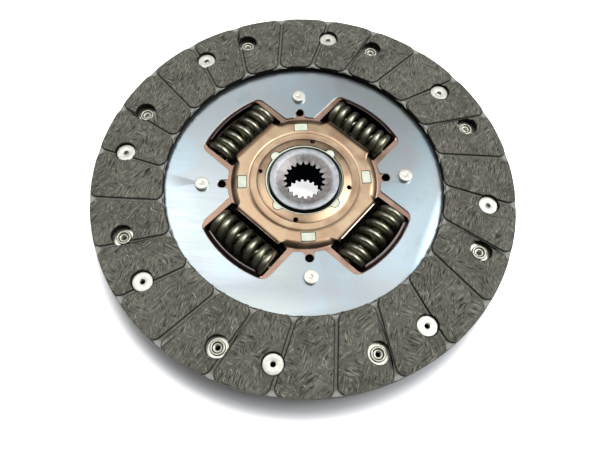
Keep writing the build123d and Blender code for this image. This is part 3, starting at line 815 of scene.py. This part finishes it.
def ring_tree():
    """The form repeated round the axis, each copy spun and leant a little at random."""
    sizes = ("Count", "Radius", "Start", "Level", "Lean", "Seed")
    tree, given, result = geometry_tree("ring_of_forms", sizes)
    tree.interface.new_socket("Form", in_out="INPUT", socket_type="NodeSocketObject")
    size = given.outputs
    ring = add(tree, "GeometryNodeMeshCircle", {"Vertices": size["Count"], "Radius": size["Radius"]})
    places = add(tree, "GeometryNodeTransform", {
        "Geometry": ring,
        "Translation": add(tree, "ShaderNodeCombineXYZ", {2: size["Level"]}),
        "Rotation": add(tree, "ShaderNodeCombineXYZ", {2: size["Start"]}),
    })
    back = add(tree, "ShaderNodeMath", {0: size["Lean"], 1: -1.0}, operation="MULTIPLY")
    low = add(tree, "ShaderNodeCombineXYZ", {0: back, 1: back})
    high = add(tree, "ShaderNodeCombineXYZ", {0: size["Lean"], 1: size["Lean"], 2: 2 * pi})
    lean = add(
        tree, "FunctionNodeRandomValue", {0: low, 1: high, "Seed": size["Seed"]}, data_type="FLOAT_VECTOR",
    )
    form = add(tree, "GeometryNodeObjectInfo", {"Object": size["Form"]}).outputs["Geometry"]
    copies = add(tree, "GeometryNodeInstanceOnPoints", {"Points": places, "Instance": form, "Rotation": lean})
    finish_tree(tree, given, result, copies)
    return tree


def ring_of(name, mesh, count, radius, start, level, material, seed, lean=1.2):
    """Mesh of `count` copies of a form standing at one radius; angles in degrees, lengths in mm."""
    form = bpy.data.objects.new(name + "_form", mesh)
    bpy.context.scene.collection.objects.link(form)
    made = run_tree(name, rings, {
        "Count": float(count), "Radius": radius * MM, "Start": radians(start), "Level": level * MM,
        "Lean": radians(lean), "Seed": float(seed), "Form": form, "Finish": material,
    })
    bpy.data.objects.remove(form)
    made.polygons.foreach_set("use_smooth", [True] * len(made.polygons))
    made.set_sharp_from_angle(angle=radians(50))
    return made


# (radius, height) outlines: the rivet about the lining's back, the pin from its foot
rivet_profile = [
    (1.3, 1.50), (1.36, 1.64), (1.5, 1.70), (4.7, 1.70), (4.9, 1.65), (5.0, 1.50), (5.0, 1.02), (4.92, 0.92),
    (4.8, 0.90), (2.5, 0.90), (2.5, -0.70), (3.55, -0.72), (3.76, -0.85), (3.82, -1.10), (3.7, -1.38),
    (3.4, -1.56), (3.0, -1.60), (2.75, -1.52), (2.6, -1.3), (2.2, -0.95), (2.0, -0.9), (1.45, -0.9),
    (1.36, -0.8),
]
pin_profile = [
    (0, 12.55), (0.5, 12.58), (0.85, 12.7), (1.1, 12.87), (1.3, 12.90), (3.3, 12.90), (3.55, 12.84),
    (3.72, 12.68), (3.8, 12.45), (3.8, 10.9), (2.8, 10.9), (2.8, 8.7), (3.8, 8.7), (4.0, 8.5), (4.0, 3.7),
    (3.8, 3.5), (2.8, 3.5), (2.8, 2.0), (3.8, 2.0), (3.8, 0.45), (3.72, 0.22), (3.55, 0.06), (3.3, 0), (0, 0),
]
rings = ring_tree()
eye_less = 5.0               # pins carry no eye: their zones start outside it
for side, facing, level, seed in (("front", 1, front_lining_back, 3), ("rear", -1, rear_lining_back, 5)):
    form = turned_form(f"{side}_rivet", rivet_profile, 36, True, facing)
    mesh = ring_of(side, form, 8, rivet_ring, rivet_turns[side], level, finish["plated_rivets"], seed)
    place_piece(f"{side}_rivet_set", mesh, "plates", "plated_rivets", f"{side}_lining_rivets")
pin = turned_form("pin", pin_profile, 36, False)
pin.attributes["zone"].data.foreach_set("value", [eye_less] * len(pin.vertices))
pin_set = ring_of("pins", pin, window_count, pin_ring, 0, pin_foot, finish["plated_pins"], 1, 0.0)
pin_nodes = [f"stop_pin_{index + 1}" for index in range(window_count)]
place_piece("stop_pin_set", pin_set, "plates", "plated_pins", *pin_nodes)

# ---------------------------------------------------------------- broken edges on the plainer pieces


def cad_copy(node):
    """Mesh of a CAD node with its flat faces undivided."""
    source = frame["nodes"][node]
    shape = bmesh.new()
    shape.from_mesh(source.data)
    shape.transform(Matrix.Diagonal((within, within, 1, 1)) @ source.matrix_world)
    bmesh.ops.remove_doubles(shape, verts=shape.verts, dist=1e-6)
    bmesh.ops.dissolve_limit(shape, angle_limit=radians(0.5), verts=shape.verts, edges=shape.edges)
    bmesh.ops.recalc_face_normals(shape, faces=shape.faces)
    mesh = bpy.data.meshes.new(node + "_edges")
    shape.to_mesh(mesh)
    shape.free()
    mesh.materials.append(source.data.materials[0])
    return mesh


def eared_bush():
    """Mesh of the centring bush: a turned ring whose rim reaches through the bore, with four round ears."""
    profile = [
        (19.5, 13.6), (23.6, 13.6), (23.6, 17.4), (21.0, 17.4), (21.0, 21.7), (20.9, 21.9), (20.55, 21.9),
        (20.4, 21.7), (20.3, 17.8), (19.5, 17.0),
    ]
    mesh = turned_form("bush", profile, 120, True)
    shape = bmesh.new()
    shape.from_mesh(mesh)
    for vertex in shape.verts:
        if 20.2 * MM < vertex.co.xy.length < 20.7 * MM:
            vertex.co += Vector((*bush_shift, 0)) * MM
    outline = []
    for step in range(-98, 99, 7):
        angle = radians(step)
        outline.append((ear["ring"] + ear["radius"] * cos(angle), ear["radius"] * sin(angle)))
    for index in range(window_count):
        ring = turned(outline, window_turn + index * 360 / window_count)
        levels = ear["foot"], ear["top"]
        low, high = ([shape.verts.new(Vector((x, y, z)) * MM) for x, y in ring] for z in levels)
        shape.faces.new(high)
        shape.faces.new(low[::-1])
        for here in range(len(ring)):
            ahead = (here + 1) % len(ring)
            shape.faces.new([low[here], low[ahead], high[ahead], high[here]])
    shape.to_mesh(mesh)
    shape.free()
    mesh.materials.append(finish["bush_polymer"])
    return softened(mesh, 0.2)


place_piece("centring_bush_body", eared_bush(), "plates", "bush_polymer", "centring_bush")
for node, body, slot, width in (
    ("front_lining", "plates", "lining", 0.45),
    ("rear_lining", "plates", "lining", 0.45),
    ("cushion_disc", "plates", "cushion_steel", 0.12),
    ("friction_ring", "plates", "bush_polymer", 0.3),
    ("hub", "hub", "hub_steel", 0.2),
):
    # the linings' short edges would hold every broken edge narrow, so theirs may cross and are drawn back in
    mesh = softened(cad_copy(node), width, limited=slot != "lining")
    rim = max(vertex.co.xy.length for vertex in frame["nodes"][node].data.vertices) * within
    for vertex in mesh.vertices:
        if vertex.co.xy.length > rim:
            vertex.co.xy = vertex.co.xy * rim / vertex.co.xy.length
    place_piece(f"{node}_body", mesh, body, slot, node)

# ---------------------------------------------------------------- floor, light and camera


def studio_floor():
    """White table top, large enough to reach past every view; painted dark in a round patch under the disc as
    its shadow, and glowing as painted light under the bore and from about 115 mm out.
    """
    made, tree, shader, place = new_material("white_table_top")
    _, radius = height_and_radius(tree, place)
    shifted = add(tree, "ShaderNodeVectorMath", {0: place, 1: (1, 6, 0)}, operation="ADD")
    _, away = height_and_radius(tree, shifted)
    # painted shadow: dark under the disc, white under the bore and beyond about 113 mm off a centre moved 6
    # mm toward -Y
    outside_painted_shadow = {0: past(tree, (away, 96, 113)), 1: past(tree, (radius, 14, 13))}
    base = coated(tree, colour("#2A2622"), "#FFFFFF", add(tree, "ShaderNodeMath", outside_painted_shadow, operation="MAXIMUM"))
    # painted light: the table top glows under the bore, seen through it, and outwards from about 109 mm off
    # the moved centre, where it whitens the shadow away
    glow = {0: past(tree, (radius, 13, 12, 0.75)), 1: past(tree, (away, 109, 120, 0.6))}
    feed(tree, shader, {
        "Base Color": base, "Roughness": 1.0, "Specular IOR Level": 0.0, "Emission Color": colour("#FFFFFF"),
        "Emission Strength": add(tree, "ShaderNodeMath", glow, operation="ADD"),
    })
    mesh = bpy.data.meshes.new("table_top")
    size = 3.0               # metres from the middle
    corners = [(-size, -size, 0), (size, -size, 0), (size, size, 0), (-size, size, 0)]
    mesh.from_pydata(corners, [], [(0, 1, 2, 3)])
    mesh.materials.append(made)
    floor = bpy.data.objects.new("table_top", mesh)
    bpy.context.scene.collection.objects.link(floor)


def sky_patch(tree, place, direction, far, close, strength):
    """Light of a round patch of sky in that direction, from `far` to `close` degrees off its middle."""
    aim = Vector(direction).normalized()
    facing = add(tree, "ShaderNodeVectorMath", {0: place, 1: aim}, operation="DOT_PRODUCT")
    return past(tree, (facing, cos(radians(far)), cos(radians(close)), strength))


def studio_world():
    """White to the camera; to the part, a dim sky overhead with bright patches left, right and behind."""
    world = bpy.data.worlds.new("studio")
    bpy.context.scene.world = world
    world.use_nodes = True
    tree = world.node_tree
    place = add(tree, "ShaderNodeTexCoord").outputs["Generated"]
    overhead = {
        0: sky_patch(tree, place, (-0.06, -0.13, 1), 72, 17, 0.36),
        1: sky_patch(tree, place, (0, 1, 0), 98, 78, 1),
    }
    light = add(tree, "ShaderNodeMath", overhead, operation="MULTIPLY")
    strength = add(tree, "ShaderNodeMath", {0: light, 1: 0.03}, operation="ADD")
    for direction, far, close, level in (
        ((-0.24, 0.35, 1), 17, 5, 2.05),
        ((0.69, 0.08, 1), 27, 8, 4.2),
        ((-0.05, 1.02, 1), 14, 4, 0.54),
    ):
        light = sky_patch(tree, place, direction, far, close, level)
        strength = add(tree, "ShaderNodeMath", {0: light, 1: strength}, operation="ADD")
    lit = add(tree, "ShaderNodeBackground", {"Color": colour("#F6F9FF"), "Strength": strength})
    white = add(tree, "ShaderNodeBackground", {"Color": (1, 1, 1, 1), "Strength": 1.0})
    seen = add(tree, "ShaderNodeLightPath").outputs["Is Camera Ray"]
    feed(tree, tree.nodes["World Output"], {
        "Surface": add(tree, "ShaderNodeMixShader", {0: seen, 1: lit, 2: white}),
    })


def soft_box(name, place, size, power):
    """Square lamp at `place` (metres), aimed at the disc; its metals mirror the sky instead."""
    lamp = bpy.data.lights.new(name, "AREA")
    lamp.size = size
    lamp.energy = power
    holder = bpy.data.objects.new(name, lamp)
    holder.location = place
    holder.rotation_euler = (Vector((0, 0, 0.01)) - Vector(place)).to_track_quat("-Z", "Y").to_euler()
    holder.visible_glossy = False
    bpy.context.scene.collection.objects.link(holder)


studio_floor()
studio_world()
soft_box("key", (0.2, 0.5, 1.35), 0.6, 17)
soft_box("fill", (-0.9, -0.4, 0.8), 0.6, 2.5)

camera_place = Vector((-15.2, -130.7, 259.0)) * MM
camera_heading = -6.2        # degrees about Z
camera_pitch = 23.76         # degrees up from straight down
camera_roll = 3.254          # degrees
camera = bpy.data.cameras.new("camera")
camera.lens = 30.12
camera.sensor_width = 36.0
camera.clip_start = 0.01
camera_holder = bpy.data.objects.new("camera", camera)
camera_holder.matrix_world = (
    Matrix.Translation(camera_place)
    @ Matrix.Rotation(radians(camera_heading), 4, "Z")
    @ Matrix.Rotation(radians(camera_pitch), 4, "X")
    @ Matrix.Rotation(radians(camera_roll), 4, "Z")
)
bpy.context.scene.collection.objects.link(camera_holder)
bpy.context.scene.camera = camera_holder
bpy.context.scene.view_settings.view_transform = "Standard"
